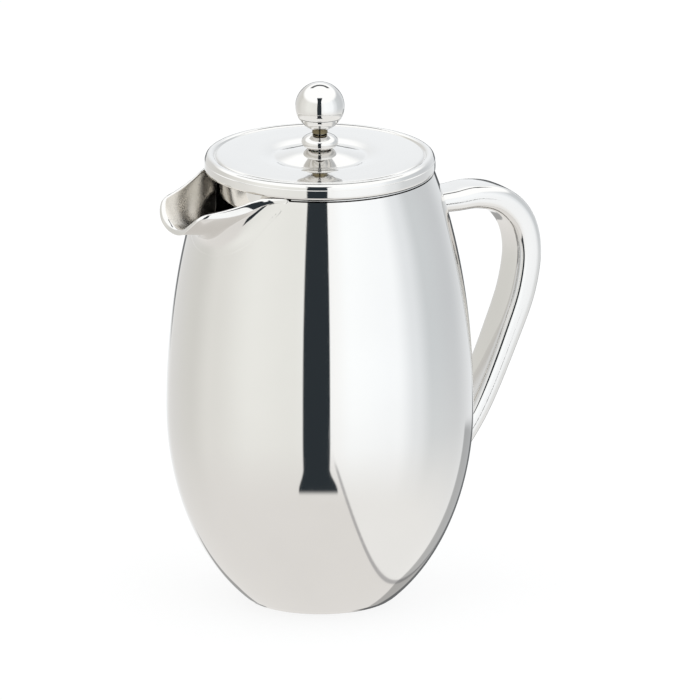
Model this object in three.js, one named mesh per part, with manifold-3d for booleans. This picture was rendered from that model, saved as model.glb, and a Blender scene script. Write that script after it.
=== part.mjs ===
// A one-litre, double-walled steel french press with its plunger fully down.
// Millimetres, +Z up. The origin is the centre of the flat underside, on the axis of the body.
// The spout points along -X and the handle along +X.
import * as THREE from 'three';
import { mergeVertices } from 'three/addons/utils/BufferGeometryUtils.js';
import Module from 'manifold-3d';

const wasm = await Module();
wasm.setup();

// ---------- Driving dimensions ----------

const FACETS = 40; // round the large pieces
const SMALL_FACETS = 20; // round the collar, knob and small hardware
const GAP = 0.3; // between pieces that are pressed, welded or screwed together
const BODY = { radius: 65, widestZ: 83, upperHeight: 154, lowerHeight: 95, topZ: 185.9, wall: 1 };
const BASE = { inwardTo: 24, thickness: 1, ledge: 28.5 };
const LINER = { bore: 44, wall: 0.8, floorZ: 19, cornerRadius: 7, rimZ: 187, rimRadius: 48.2 };
const LID = { radius: 48.8, bottomZ: 187.4, centreZ: 196, hole: 4.5, sheet: 0.8 };
const PLUG = { radius: 42.6, bottomZ: 175.3, flangeZ: 187.3, flangeRadius: 47.6 };
const ROD = { radius: 2.5, threadRadius: 2, bottomZ: 21.2, topZ: 216.5 };
const COLLAR = { radius: 7.8, bottomZ: 196.3, centreZ: 199.1, halfHeight: 3.78, topZ: 202.63 };
const BALL = { radius: 10.4, centreZ: 214.6, seamZ: 210, wall: 1 };
const NECK_RADIUS = 3.4;
const FILTER = { plateZ: 26, meshRadius: 43.5, springRadius: 40.7, springWire: 2 };
const SPOUT = { tipX: -72, rootX: -37, wall: 1.2 };
const HANDLE_WALL = 1.2;

// ---------- Materials ----------

function material(color, metalness, roughness) {
  return new THREE.MeshStandardMaterial({ color, metalness, roughness });
}

const POLISHED = material(0xdcdddd, 1, 0.06);
const BRUSHED = material(0xc9cbcb, 1, 0.3);
const MESH_STEEL = material(0xb4b6b6, 1, 0.4);
const NYLON = material(0xe9e6dd, 0, 0.5);
const BRASS = material(0xb59a5b, 1, 0.25);

// ---------- Building blocks ----------

function signedVolume(geometry) {
  const p = geometry.attributes.position;
  const index = geometry.index.array;
  const [a, b, c] = [new THREE.Vector3(), new THREE.Vector3(), new THREE.Vector3()];
  let total = 0;
  for (let i = 0; i < index.length; i += 3) {
    a.fromBufferAttribute(p, index[i]);
    b.fromBufferAttribute(p, index[i + 1]);
    c.fromBufferAttribute(p, index[i + 2]);
    total += a.dot(b.cross(c)) / 6;
  }
  return total;
}

// Merges shared vertices, drops collapsed triangles and turns the faces outwards.
function closed(geometry) {
  const bare = new THREE.BufferGeometry();
  bare.setAttribute('position', geometry.attributes.position);
  bare.setIndex(geometry.index);
  const merged = mergeVertices(bare, 1e-4);
  const kept = [];
  const index = merged.index.array;
  for (let i = 0; i < index.length; i += 3) {
    const [a, b, c] = [index[i], index[i + 1], index[i + 2]];
    if (a !== b && b !== c && c !== a) kept.push([a, b, c]);
  }
  merged.setIndex(kept.flat());
  if (signedVolume(merged) < 0) merged.setIndex(kept.map(([a, b, c]) => [a, c, b]).flat());
  return merged;
}

function solid(geometry) {
  const tight = closed(geometry);
  return new wasm.Manifold(new wasm.Mesh({
    numProp: 3,
    vertProperties: new Float32Array(tight.attributes.position.array),
    triVerts: new Uint32Array(tight.index.array),
  }));
}

function toGeometry(manifold) {
  const { vertProperties, triVerts } = manifold.getMesh();
  const geometry = new THREE.BufferGeometry();
  geometry.setAttribute('position', new THREE.BufferAttribute(vertProperties, 3));
  geometry.setIndex(new THREE.BufferAttribute(triVerts, 1));
  return geometry;
}

// Turns a profile of [radius, z] points about the Z axis. It starts and ends on the axis.
function revolve(profile, facets = FACETS) {
  const points = profile.map(([r, z]) => new THREE.Vector2(r, z));
  return closed(new THREE.LatheGeometry(points, facets).rotateX(Math.PI / 2));
}

// The same for a ring: the profile closes on itself.
function revolveRing(profile, facets = FACETS) {
  return revolve([...profile, profile[0]], facets);
}

// Points of an arc in the [radius, z] plane, angles in degrees from the radial direction.
function arc(r, z, radius, from, to, steps) {
  return Array.from({ length: steps + 1 }, (_, i) => {
    const angle = THREE.MathUtils.degToRad(from + ((to - from) * i) / steps);
    return [r + radius * Math.cos(angle), z + radius * Math.sin(angle)];
  });
}

// The outline of a pressed sheet: one face's profile, and the other face at a thickness to its left.
function sheet(profile, thickness) {
  const side = profile.map(([r, z], i) => {
    const before = profile[Math.max(i - 1, 0)];
    const after = profile[Math.min(i + 1, profile.length - 1)];
    const unit = (from, to) => new THREE.Vector2(to[0] - from[0], to[1] - from[1]).normalize();
    const first = i > 0 ? unit(before, [r, z]) : unit([r, z], after);
    const second = i < profile.length - 1 ? unit([r, z], after) : first;
    const along = first.clone().add(second).normalize();
    const stretch = thickness / along.dot(second);
    return [r - along.y * stretch, z + along.x * stretch];
  });
  return [...profile, ...side.reverse()];
}

function hexagon(acrossFlats, holeRadius, bottomZ, height) {
  const shape = new THREE.Shape();
  const corner = acrossFlats / Math.sqrt(3);
  for (let i = 0; i < 6; i += 1) {
    const angle = (i * Math.PI) / 3;
    const [x, y] = [corner * Math.cos(angle), corner * Math.sin(angle)];
    if (i === 0) shape.moveTo(x, y);
    else shape.lineTo(x, y);
  }
  shape.closePath();
  const hole = new THREE.Path();
  hole.absarc(0, 0, holeRadius, 0, 2 * Math.PI, true);
  shape.holes.push(hole);
  const geometry = new THREE.ExtrudeGeometry(shape, { depth: height, bevelEnabled: false, curveSegments: 8 });
  return closed(geometry.translate(0, 0, bottomZ));
}

// Skins rings of points, in order, with a fan on each end ring.
function skin(rings, closeEnds) {
  const size = rings[0].length;
  const positions = rings.flat(2);
  const index = [];
  const last = closeEnds ? rings.length - 1 : rings.length;
  for (let i = 0; i < last; i += 1) {
    const [here, next] = [i * size, ((i + 1) % rings.length) * size];
    for (let j = 0; j < size; j += 1) {
      const k = (j + 1) % size;
      index.push(here + j, here + k, next + k, here + j, next + k, next + j);
    }
  }
  if (closeEnds) {
    const top = (rings.length - 1) * size;
    for (let j = 1; j < size - 1; j += 1) {
      index.push(0, j + 1, j, top, top + j, top + j + 1);
    }
  }
  const geometry = new THREE.BufferGeometry();
  geometry.setAttribute('position', new THREE.Float32BufferAttribute(positions, 3));
  geometry.setIndex(index);
  return closed(geometry);
}

// Straight-line interpolation in a table of [x, value] pairs with rising x.
function interpolate(table, x) {
  const i = Math.min(Math.max(table.findIndex(([key]) => key > x), 1), table.length - 1);
  const end = table[table.length - 1];
  if (x >= end[0]) return end[1];
  const [[x0, v0], [x1, v1]] = [table[i - 1], table[i]];
  return v0 + ((v1 - v0) * (x - x0)) / (x1 - x0);
}

// ---------- Body ----------

// The body's outer face is two half-ellipses that meet at its widest level.
function bodyRadius(z) {
  const half = z > BODY.widestZ ? BODY.upperHeight : BODY.lowerHeight;
  return BODY.radius * Math.sqrt(1 - ((z - BODY.widestZ) / half) ** 2);
}

function bodyFace(fromZ, toZ, inset, steps) {
  return Array.from({ length: steps + 1 }, (_, i) => {
    const z = fromZ + ((toZ - fromZ) * i) / steps;
    return [bodyRadius(z) - inset, z];
  });
}

const BODY_STEPS = 11;

function bodySolid(margin) {
  return solid(revolve([[0, 0], ...bodyFace(0, BODY.topZ, -margin, BODY_STEPS), [0, BODY.topZ]]));
}

// The spout is an open trough. Half its width, its lip and its keel at each X, from the end to the root.
const SPOUT_HALF_WIDTH = [
  [SPOUT.tipX, 11.2], [-71.2, 13.2], [-69.6, 15], [-66.5, 16.6], [-60, 19.2], [-53.5, 21.7], [-48, 23.8], [-42, 26.9],
  [SPOUT.rootX, 29.9],
];
const SPOUT_LIP_Z = [
  [SPOUT.tipX, 174.8], [-71.2, 177.2], [-69.6, 179.2], [-66.5, 180.6], [-60, 181.8], [-53.5, 183.4], [-48, 185.1],
  [-44, 186.5], [-41, 187], [-36, 187],
];
const SPOUT_KEEL_Z = [
  [SPOUT.tipX, 169], [-66, 168.6], [-60, 167.5], [-54, 165.6], [-48, 162.1], [-44, 158.2], [SPOUT.rootX, 151],
];
const SPOUT_ROUNDNESS = 0.7;
const SPOUT_SECTION_STEPS = 14;
const SPOUT_OPEN_END = 3;

// Height up the trough's wall, 0 to 1: a rounded V near the end, and a U towards the vessel.
function troughShape(across, x) {
  const flat = Math.hypot(1, SPOUT_ROUNDNESS) - SPOUT_ROUNDNESS;
  const rounded = (Math.hypot(across, SPOUT_ROUNDNESS) - SPOUT_ROUNDNESS) / flat;
  const share = 0.6 + 0.25 * THREE.MathUtils.smoothstep(x, -64, -44);
  return rounded * (1 - share) + Math.abs(across) ** 3 * share;
}

// The spout's outer form as a filled solid, or that form inset by a wall and carried on past the end and up.
function spoutForm(inset, topZ) {
  const rings = SPOUT_HALF_WIDTH.map(([x]) => {
    const [lip, keel] = [interpolate(SPOUT_LIP_Z, x), interpolate(SPOUT_KEEL_Z, x) + inset];
    const half = interpolate(SPOUT_HALF_WIDTH, x) - inset;
    const atX = topZ && x === SPOUT.tipX ? x - SPOUT_OPEN_END : x;
    const ring = [];
    for (let i = 0; i <= SPOUT_SECTION_STEPS; i += 1) {
      const across = 1 - (2 * i) / SPOUT_SECTION_STEPS;
      ring.push([atX, half * across, keel + (lip - keel) * troughShape(across, x)]);
    }
    if (topZ) ring.push([atX, -half, topZ], [atX, half, topZ]);
    return ring;
  });
  return solid(skin(rings, true));
}

const ABOVE_RIM = 200;
const spoutCutter = spoutForm(-GAP, ABOVE_RIM);

function outerShell() {
  const outside = bodyFace(0, BODY.topZ, 0, BODY_STEPS);
  const inside = bodyFace(BODY.topZ, BASE.thickness, BODY.wall, BODY_STEPS);
  const wall = revolveRing([[BASE.inwardTo, 0], ...outside, ...inside, [BASE.inwardTo, BASE.thickness]]);
  return toGeometry(solid(wall).subtract(spoutCutter));
}

function basePlate() {
  const edge = BASE.inwardTo - GAP;
  const ledgeZ = BASE.thickness + GAP;
  return revolve([
    [0, 0], [edge, 0], [edge, ledgeZ], [BASE.ledge, ledgeZ], [BASE.ledge, ledgeZ + BASE.thickness],
    [edge - BASE.thickness, ledgeZ + BASE.thickness], [edge - BASE.thickness, BASE.thickness], [0, BASE.thickness],
  ]);
}

function innerLiner() {
  const { bore, wall, floorZ, cornerRadius, rimZ, rimRadius } = LINER;
  const flare = 2.4;
  const cornerR = bore - cornerRadius;
  const face = [
    [0, floorZ],
    ...arc(cornerR, floorZ + cornerRadius, cornerRadius, -90, 0, 3),
    ...arc(bore + flare, rimZ - flare, flare, 180, 90, 2),
    [rimRadius, rimZ],
  ];
  const back = [
    [rimRadius, rimZ - wall],
    ...arc(bore + flare, rimZ - flare, flare - wall, 90, 180, 2),
    ...arc(cornerR, floorZ + cornerRadius, cornerRadius + wall, 0, -90, 3),
    [0, floorZ - wall],
  ];
  return toGeometry(solid(revolve([...face, ...back])).subtract(spoutCutter));
}

function spout() {
  const bore = solid(revolve([[0, 150], [LINER.bore, 150], [LINER.bore, ABOVE_RIM], [0, ABOVE_RIM]]));
  const channel = spoutForm(0).subtract(spoutForm(SPOUT.wall, ABOVE_RIM));
  return toGeometry(channel.subtract(bore));
}

// The handle's centre line in the XZ plane, from inside the upper joint to inside the lower one.
const HANDLE_LINE = [
  [50, 165.4], [64, 165], [75, 165], [86.8, 161.4], [96, 152], [99.7, 139], [97.5, 122], [89.7, 102.2],
  [75.1, 72.2], [64.3, 56.8], [57, 46.8],
];
const HANDLE_HALF_THICKNESS = [[0, 4.2], [0.12, 4.9], [0.28, 6], [0.45, 5.9], [0.7, 5.2], [1, 4.7]];
const HANDLE_HALF_WIDTH = [[0, 9.6], [0.15, 9.4], [0.35, 9.2], [0.6, 9.4], [1, 9.6]];
const HANDLE_STATIONS = 20;
const HANDLE_SECTION_POINTS = 12;
const HANDLE_SQUARENESS = 0.5;

function handleRing(curve, t, inset) {
  const centre = curve.getPointAt(t);
  const along = curve.getTangentAt(t);
  const outwards = new THREE.Vector3(-along.z, 0, along.x);
  const thick = interpolate(HANDLE_HALF_THICKNESS, t) - inset;
  const wide = interpolate(HANDLE_HALF_WIDTH, t) - inset;
  const soft = (value) => Math.sign(value) * Math.abs(value) ** HANDLE_SQUARENESS;
  return Array.from({ length: HANDLE_SECTION_POINTS }, (_, i) => {
    const angle = (2 * Math.PI * (i + 0.5)) / HANDLE_SECTION_POINTS;
    const point = centre.clone().addScaledVector(outwards, thick * soft(Math.sin(angle)));
    return [point.x, wide * soft(Math.cos(angle)), point.z];
  });
}

// A tube of rounded section, open at both ends, cut to fit the body's wall.
function handle() {
  const curve = new THREE.CatmullRomCurve3(
    HANDLE_LINE.map(([x, z]) => new THREE.Vector3(x, 0, z)), false, 'centripetal',
  );
  const stations = Array.from({ length: HANDLE_STATIONS + 1 }, (_, i) => i / HANDLE_STATIONS);
  const outside = stations.map((t) => handleRing(curve, t, 0));
  const inside = stations.map((t) => handleRing(curve, t, HANDLE_WALL)).reverse();
  const tube = solid(skin([...outside, ...inside], false));
  return toGeometry(tube.subtract(bodySolid(GAP)));
}

// ---------- Lid ----------

// The cover's top face: a low dome in the middle, a flat ring, and a groove and bead round the edge.
const LID_TOP = [
  [LID.hole, LID.centreZ], [8, 195.6], [11, 195], [14, 194.3], [17, 193.5], [19, 193], [21, 193.15], [24, 193.6],
  [30, 193.85], [36, 193.8], [43.4, 193.4], [44.3, 192.8], [45, 193.5],
];

function lidCover() {
  const roll = 2;
  const side = arc(LID.radius - roll, 193.8 - roll, roll, 90, 0, 2);
  return revolveRing(sheet([...LID_TOP, ...side, [LID.radius, LID.bottomZ]].reverse(), LID.sheet));
}

function lidLiner() {
  const corner = 2.5;
  const { radius, bottomZ, flangeZ, flangeRadius } = PLUG;
  const face = [
    [LID.hole, bottomZ],
    ...arc(radius - corner, bottomZ + corner, corner, -90, 0, 3),
    [radius, flangeZ],
    [flangeRadius, flangeZ],
  ];
  return revolveRing(sheet(face, LID.sheet));
}

const BUSH = { outer: LID.hole - GAP, bottomZ: 170, topZ: 198.5 };
const ROD_CLEARANCE = 0.3;

function guideBush() {
  const inner = ROD.radius + ROD_CLEARANCE;
  return revolveRing([
    [inner, BUSH.bottomZ], [BUSH.outer, BUSH.bottomZ], [BUSH.outer, BUSH.topZ], [inner, BUSH.topZ],
  ], SMALL_FACETS);
}

// An oblate bead that sits on the lid's low dome, bored for the rod above and wider for the bush below.
function lidCollar() {
  const narrow = ROD.radius + ROD_CLEARANCE;
  const foot = LID.hole + 0.9;
  const stepZ = BUSH.topZ + GAP;
  const angleAt = (r) => THREE.MathUtils.radToDeg(Math.acos(r / COLLAR.radius));
  const outer = arc(0, 0, 1, -angleAt(foot), angleAt(narrow), 8).map(([across, up]) => [
    COLLAR.radius * across, COLLAR.centreZ + COLLAR.halfHeight * up,
  ]);
  return revolveRing([
    [LID.hole, COLLAR.bottomZ], [foot, COLLAR.bottomZ], ...outer, [narrow, stepZ], [LID.hole, stepZ],
  ], SMALL_FACETS);
}

const WASHER = { radius: 10, thickness: 1 };
const BUSH_NUT = { acrossFlats: 14, height: 3.3 };

function bushWasher() {
  const topZ = PLUG.bottomZ - GAP;
  const bottomZ = topZ - WASHER.thickness;
  return revolveRing([
    [LID.hole, bottomZ], [WASHER.radius, bottomZ], [WASHER.radius, topZ], [LID.hole, topZ],
  ], SMALL_FACETS);
}

function bushNut() {
  const topZ = PLUG.bottomZ - WASHER.thickness - 2 * GAP;
  return hexagon(BUSH_NUT.acrossFlats, LID.hole, topZ - BUSH_NUT.height, BUSH_NUT.height);
}

// ---------- Plunger ----------

const HUB_TOP_Z = FILTER.plateZ - 1 - GAP;
const THREAD_END_Z = 27.9;

function plungerRod() {
  const knobThreadZ = COLLAR.topZ + GAP;
  return revolve([
    [0, ROD.bottomZ], [ROD.threadRadius, ROD.bottomZ], [ROD.threadRadius, THREAD_END_Z],
    [ROD.radius, THREAD_END_Z], [ROD.radius, knobThreadZ], [ROD.threadRadius, knobThreadZ],
    [ROD.threadRadius, ROD.topZ], [0, ROD.topZ],
  ], SMALL_FACETS);
}

const ROD_HOLE = ROD.radius + ROD_CLEARANCE;

// A dish: a flat disc whose edge turns up to a height, with a hole for the rod.
function dish(bottomZ, radius, edgeZ, thickness) {
  const corner = 0.9;
  const face = [
    [ROD_HOLE, bottomZ],
    ...arc(radius - corner, bottomZ + corner, corner, -90, 0, 2),
    [radius, edgeZ],
  ];
  return revolveRing(sheet(face, thickness));
}

const MESH_THICKNESS = 0.5;
const MESH_Z = FILTER.plateZ + GAP;
const SPRING_PLATE_Z = MESH_Z + MESH_THICKNESS + GAP;
const SPRING_PLATE_THICKNESS = 0.8;
const EDGE_TOP_Z = 31.5;

function meshFilter() {
  return dish(MESH_Z, FILTER.meshRadius, EDGE_TOP_Z, MESH_THICKNESS);
}

function springPlate() {
  const radius = FILTER.springRadius - FILTER.springWire - GAP;
  return dish(SPRING_PLATE_Z, radius, EDGE_TOP_Z, SPRING_PLATE_THICKNESS);
}

function edgeSpring() {
  const ring = new THREE.TorusGeometry(FILTER.springRadius, FILTER.springWire, 6, FACETS);
  return closed(ring.translate(0, 0, MESH_Z + MESH_THICKNESS + GAP + FILTER.springWire));
}

function stopNut() {
  const bottomZ = SPRING_PLATE_Z + SPRING_PLATE_THICKNESS + GAP;
  return hexagon(10, ROD_HOLE, bottomZ, 6);
}

const WINDOWS = { count: 8, radius: 6.5, circle: 27 };

// A disc with its edge turned down and a ring of round windows.
function crossPlate() {
  const radius = 40.5;
  const corner = 1.5;
  const edgeZ = 22.6;
  const top = [
    [ROD_HOLE, FILTER.plateZ],
    ...arc(radius - corner, FILTER.plateZ - corner, corner, 90, 0, 3),
    [radius, edgeZ],
  ];
  let plate = solid(revolveRing(sheet(top.reverse(), 1)));
  for (let i = 0; i < WINDOWS.count; i += 1) {
    const angle = (2 * Math.PI * i) / WINDOWS.count;
    const drill = new THREE.CylinderGeometry(WINDOWS.radius, WINDOWS.radius, 10, 14).rotateX(Math.PI / 2);
    drill.translate(WINDOWS.circle * Math.cos(angle), WINDOWS.circle * Math.sin(angle), FILTER.plateZ);
    plate = plate.subtract(solid(drill));
  }
  return toGeometry(plate);
}

function hubNut() {
  const height = 4;
  return hexagon(11, ROD.threadRadius + GAP, HUB_TOP_Z - height, height);
}

// ---------- Knob ----------

// Points of the ball's face between two levels, inset by a wall.
function ballFace(fromZ, toZ, inset, steps) {
  const radius = BALL.radius - inset;
  const angleAt = (z) => THREE.MathUtils.radToDeg(Math.asin(Math.min((z - BALL.centreZ) / radius, 1)));
  return arc(0, BALL.centreZ, radius, angleAt(fromZ), angleAt(toZ), steps);
}

function knobUpperShell() {
  const seam = BALL.seamZ + GAP / 2;
  const top = BALL.centreZ + BALL.radius;
  return revolve([
    ...ballFace(top - BALL.wall, seam, BALL.wall, 6), ...ballFace(seam, top, 0, 7),
  ], SMALL_FACETS);
}

function knobLowerShell() {
  const seam = BALL.seamZ - GAP / 2;
  const hole = NECK_RADIUS + GAP;
  const footZ = BALL.centreZ - Math.sqrt(BALL.radius ** 2 - hole ** 2);
  const wallFootZ = BALL.centreZ - Math.sqrt((BALL.radius - BALL.wall) ** 2 - hole ** 2);
  return revolveRing([
    ...ballFace(footZ, seam, 0, 3), ...ballFace(seam, wallFootZ, BALL.wall, 3),
  ], SMALL_FACETS);
}

function knobInsert() {
  const bottomZ = COLLAR.topZ + GAP;
  const bore = ROD.threadRadius + GAP;
  const [flangeRadius, flangeZ, flangeTopZ] = [6.3, 209.2, 212];
  return revolve([
    [0, 219], [NECK_RADIUS, 219], [NECK_RADIUS, flangeTopZ], [flangeRadius, flangeTopZ], [flangeRadius, flangeZ],
    [NECK_RADIUS, flangeZ], [NECK_RADIUS, bottomZ], [bore, bottomZ], [bore, 217], [0, 217],
  ], SMALL_FACETS);
}

// ---------- Assembly ----------

function assemble(name, pieces) {
  const group = new THREE.Group();
  group.name = name;
  for (const [pieceName, geometry, pieceMaterial] of pieces) {
    const mesh = new THREE.Mesh(geometry, pieceMaterial);
    mesh.name = pieceName;
    group.add(mesh);
  }
  return group;
}

const frenchPress = new THREE.Group();
frenchPress.add(
  assemble('pot', [
    ['outer_shell', outerShell(), POLISHED],
    ['base_plate', basePlate(), BRUSHED],
    ['inner_liner', innerLiner(), BRUSHED],
    ['spout', spout(), POLISHED],
    ['handle', handle(), POLISHED],
  ]),
  assemble('lid', [
    ['lid_cover', lidCover(), POLISHED],
    ['lid_liner', lidLiner(), POLISHED],
    ['lid_collar', lidCollar(), POLISHED],
    ['guide_bush', guideBush(), NYLON],
    ['bush_washer', bushWasher(), BRUSHED],
    ['bush_nut', bushNut(), BRUSHED],
  ]),
  assemble('plunger', [
    ['plunger_rod', plungerRod(), POLISHED],
    ['stop_nut', stopNut(), BRUSHED],
    ['spring_plate', springPlate(), POLISHED],
    ['edge_spring', edgeSpring(), BRUSHED],
    ['mesh_filter', meshFilter(), MESH_STEEL],
  ]),
  assemble('cross', [
    ['cross_plate', crossPlate(), POLISHED],
    ['hub_nut', hubNut(), BRUSHED],
  ]),
  assemble('knob', [
    ['knob_upper_shell', knobUpperShell(), POLISHED],
    ['knob_lower_shell', knobLowerShell(), POLISHED],
    ['knob_insert', knobInsert(), BRASS],
  ]),
);

export default frenchPress;
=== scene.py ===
"""Looks for the steel french press: smooth mirror-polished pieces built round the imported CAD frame.

Lengths inside this file are millimetres, as the object is drawn, and every mesh is written in metres.
The spout points along -X and the handle along +X.
"""

import math

import bmesh
import bpy
import numpy as np
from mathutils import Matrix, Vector


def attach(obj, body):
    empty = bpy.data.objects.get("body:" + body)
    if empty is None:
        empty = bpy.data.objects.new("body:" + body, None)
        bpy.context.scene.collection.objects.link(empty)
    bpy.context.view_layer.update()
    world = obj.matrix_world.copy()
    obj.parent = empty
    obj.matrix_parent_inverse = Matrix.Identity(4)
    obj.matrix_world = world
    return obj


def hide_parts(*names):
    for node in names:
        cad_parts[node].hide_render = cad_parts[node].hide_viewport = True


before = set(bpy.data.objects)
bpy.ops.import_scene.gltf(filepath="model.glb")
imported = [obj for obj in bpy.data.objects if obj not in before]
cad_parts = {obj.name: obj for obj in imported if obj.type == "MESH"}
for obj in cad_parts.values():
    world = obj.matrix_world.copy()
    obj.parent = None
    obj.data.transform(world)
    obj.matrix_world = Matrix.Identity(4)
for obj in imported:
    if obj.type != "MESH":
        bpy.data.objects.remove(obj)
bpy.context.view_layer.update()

MM = 0.001
TAU = 2 * math.pi

# ---------- Driving dimensions, in millimetres, as in the CAD model ----------

BODY_RADIUS = 64.995  # a hair under the CAD model's 65, so that the round body stays in its faceted box
WIDEST_Z = 83.0
UPPER_HEIGHT = 154.0
LOWER_HEIGHT = 95.0
SHELL_TOP_Z = 186.0
BORE = 44.0
FLOOR_Z = 19.0
RIM_Z = 187.0
RIM_RADIUS = 48.2
BALL_RADIUS = 10.4
BALL_Z = 214.6
SEAM_Z = 210.0
COLLAR_RADIUS = 7.8
COLLAR_HALF = 3.78
COLLAR_Z = 199.1
PAN_Z = 175.3
MERGE = 2e-7  # metres


# ---------- Camera ----------

VIEW_AZIMUTH = math.radians(31.0)
VIEW_ELEVATION = math.radians(16.5)
VIEW_DISTANCE = 12.0
FRAME_WIDTH = 0.2959
AIM_RIGHT = 0.0127
AIM_HEIGHT = 0.1073
SENSOR = 36.0

RIGHT = Vector((math.cos(VIEW_AZIMUTH), -math.sin(VIEW_AZIMUTH), 0.0))
FORWARD = Vector((math.sin(VIEW_AZIMUTH), math.cos(VIEW_AZIMUTH), 0.0))


def add_camera():
    data = bpy.data.cameras.new("camera")
    data.sensor_width = SENSOR
    data.lens = SENSOR * VIEW_DISTANCE / FRAME_WIDTH
    data.clip_start = 0.05
    data.clip_end = 50.0
    camera = bpy.data.objects.new("camera", data)
    bpy.context.scene.collection.objects.link(camera)
    look = FORWARD * math.cos(VIEW_ELEVATION) - Vector((0, 0, 1)) * math.sin(VIEW_ELEVATION)
    aim = RIGHT * AIM_RIGHT + Vector((0, 0, AIM_HEIGHT))
    camera.location = aim - look * VIEW_DISTANCE
    camera.rotation_euler = look.to_track_quat("-Z", "Y").to_euler()
    bpy.context.scene.camera = camera


add_camera()


# ---------- Small numeric tools ----------


def smoothstep(edge0, edge1, x):
    t = np.clip((np.asarray(x, float) - edge0) / (edge1 - edge0), 0, 1)
    return t * t * (3 - 2 * t)


def pchip(xs, ys, x):
    """Monotone cubic through the points: smooth, with no overshoot."""
    xs = np.asarray(xs, float)
    ys = np.asarray(ys, float)
    h = np.diff(xs)
    d = np.diff(ys) / h
    m = np.zeros_like(ys)
    for i in range(1, len(xs) - 1):
        if d[i - 1] * d[i] > 0:
            w1 = 2 * h[i] + h[i - 1]
            w2 = h[i] + 2 * h[i - 1]
            m[i] = (w1 + w2) / (w1 / d[i - 1] + w2 / d[i])
    m[0] = d[0]
    m[-1] = d[-1]
    x = np.clip(np.asarray(x, float), xs[0], xs[-1])
    i = np.clip(np.searchsorted(xs, x) - 1, 0, len(h) - 1)
    t = (x - xs[i]) / h[i]
    t2 = t * t
    t3 = t2 * t
    return (
        (2 * t3 - 3 * t2 + 1) * ys[i]
        + (t3 - 2 * t2 + t) * h[i] * m[i]
        + (-2 * t3 + 3 * t2) * ys[i + 1]
        + (t3 - t2) * h[i] * m[i + 1]
    )


def catmull(points, count, power=0.5):
    """Centripetal Catmull-Rom curve through the points, resampled evenly along its length."""
    p = np.asarray(points, float)
    p = np.vstack([2 * p[0] - p[1], p, 2 * p[-1] - p[-2]])
    out = []
    for i in range(1, len(p) - 2):
        p0, p1, p2, p3 = p[i - 1], p[i], p[i + 1], p[i + 2]
        t0 = 0.0
        t1 = t0 + np.linalg.norm(p1 - p0) ** power
        t2 = t1 + np.linalg.norm(p2 - p1) ** power
        t3 = t2 + np.linalg.norm(p3 - p2) ** power
        for t in np.linspace(t1, t2, 24, endpoint=False):
            a1 = (t1 - t) / (t1 - t0) * p0 + (t - t0) / (t1 - t0) * p1
            a2 = (t2 - t) / (t2 - t1) * p1 + (t - t1) / (t2 - t1) * p2
            a3 = (t3 - t) / (t3 - t2) * p2 + (t - t2) / (t3 - t2) * p3
            b1 = (t2 - t) / (t2 - t0) * a1 + (t - t0) / (t2 - t0) * a2
            b2 = (t3 - t) / (t3 - t1) * a2 + (t - t1) / (t3 - t1) * a3
            out.append((t2 - t) / (t2 - t1) * b1 + (t - t1) / (t2 - t1) * b2)
    out.append(p[-2])
    return resample(np.array(out), count)


def distances(points):
    """How far along the polyline each point is."""
    step = np.linalg.norm(np.diff(points, axis=0), axis=1)
    return np.concatenate([[0], np.cumsum(step)])


def resample(points, count):
    """The polyline with count points at equal distances along it."""
    points = np.asarray(points, float)
    along = distances(points)
    at = np.linspace(0, along[-1], count)
    return np.stack([np.interp(at, along, points[:, k]) for k in range(points.shape[1])], 1)


def unit(v):
    return v / np.maximum(np.linalg.norm(v, axis=-1, keepdims=True), 1e-9)


def arc(r, z, radius, start, end, count):
    """Arc points (r, z), angles in degrees from the radial direction."""
    a = np.radians(np.linspace(start, end, count))
    return [(r + radius * math.cos(t), z + radius * math.sin(t)) for t in a]


# ---------- Mesh tools ----------


def shade_smooth(bm, sharp_angle):
    """Smooth shading. With an angle given, the edges over it stay crisp."""
    for face in bm.faces:
        face.smooth = True
    if sharp_angle is not None:
        for edge in bm.edges:
            if len(edge.link_faces) == 2:
                edge.smooth = edge.calc_face_angle(0) < math.radians(sharp_angle)


def make_object(name, vertices, faces, sharp_angle=None):
    """A mesh object from millimetre vertices. Shared points are merged and the faces turned outwards."""
    mesh = bpy.data.meshes.new(name)
    mesh.from_pydata([tuple(v) for v in np.asarray(vertices, float) * MM], [], [list(f) for f in faces])
    bm = bmesh.new()
    bm.from_mesh(mesh)
    bmesh.ops.remove_doubles(bm, verts=bm.verts, dist=MERGE)
    bmesh.ops.dissolve_degenerate(bm, dist=1e-8, edges=bm.edges)
    bmesh.ops.recalc_face_normals(bm, faces=bm.faces)
    shade_smooth(bm, sharp_angle)
    bm.to_mesh(mesh)
    bm.free()
    obj = bpy.data.objects.new(name, mesh)
    bpy.context.scene.collection.objects.link(obj)
    return obj


def grid_faces(rows, columns, close_rows=False, close_columns=False):
    faces = []
    for i in range(rows if close_rows else rows - 1):
        for j in range(columns if close_columns else columns - 1):
            a = i * columns + j
            b = i * columns + (j + 1) % columns
            c = ((i + 1) % rows) * columns + (j + 1) % columns
            d = ((i + 1) % rows) * columns + j
            faces.append((a, b, c, d))
    return faces


def lathe(name, profile, segments=160, closed=True, sharp_angle=35):
    """Turns an (r, z) profile about the Z axis. A closed profile joins its last point to its first."""
    profile = np.asarray(profile, float)
    angle = np.linspace(0, TAU, segments, endpoint=False)
    r = np.maximum(profile[:, :1], 0)
    vertices = np.stack([r * np.cos(angle), r * np.sin(angle), np.repeat(profile[:, 1:], segments, 1)], 2)
    faces = grid_faces(len(profile), segments, close_rows=closed, close_columns=True)
    return make_object(name, vertices.reshape(-1, 3), faces, sharp_angle=sharp_angle)


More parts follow.
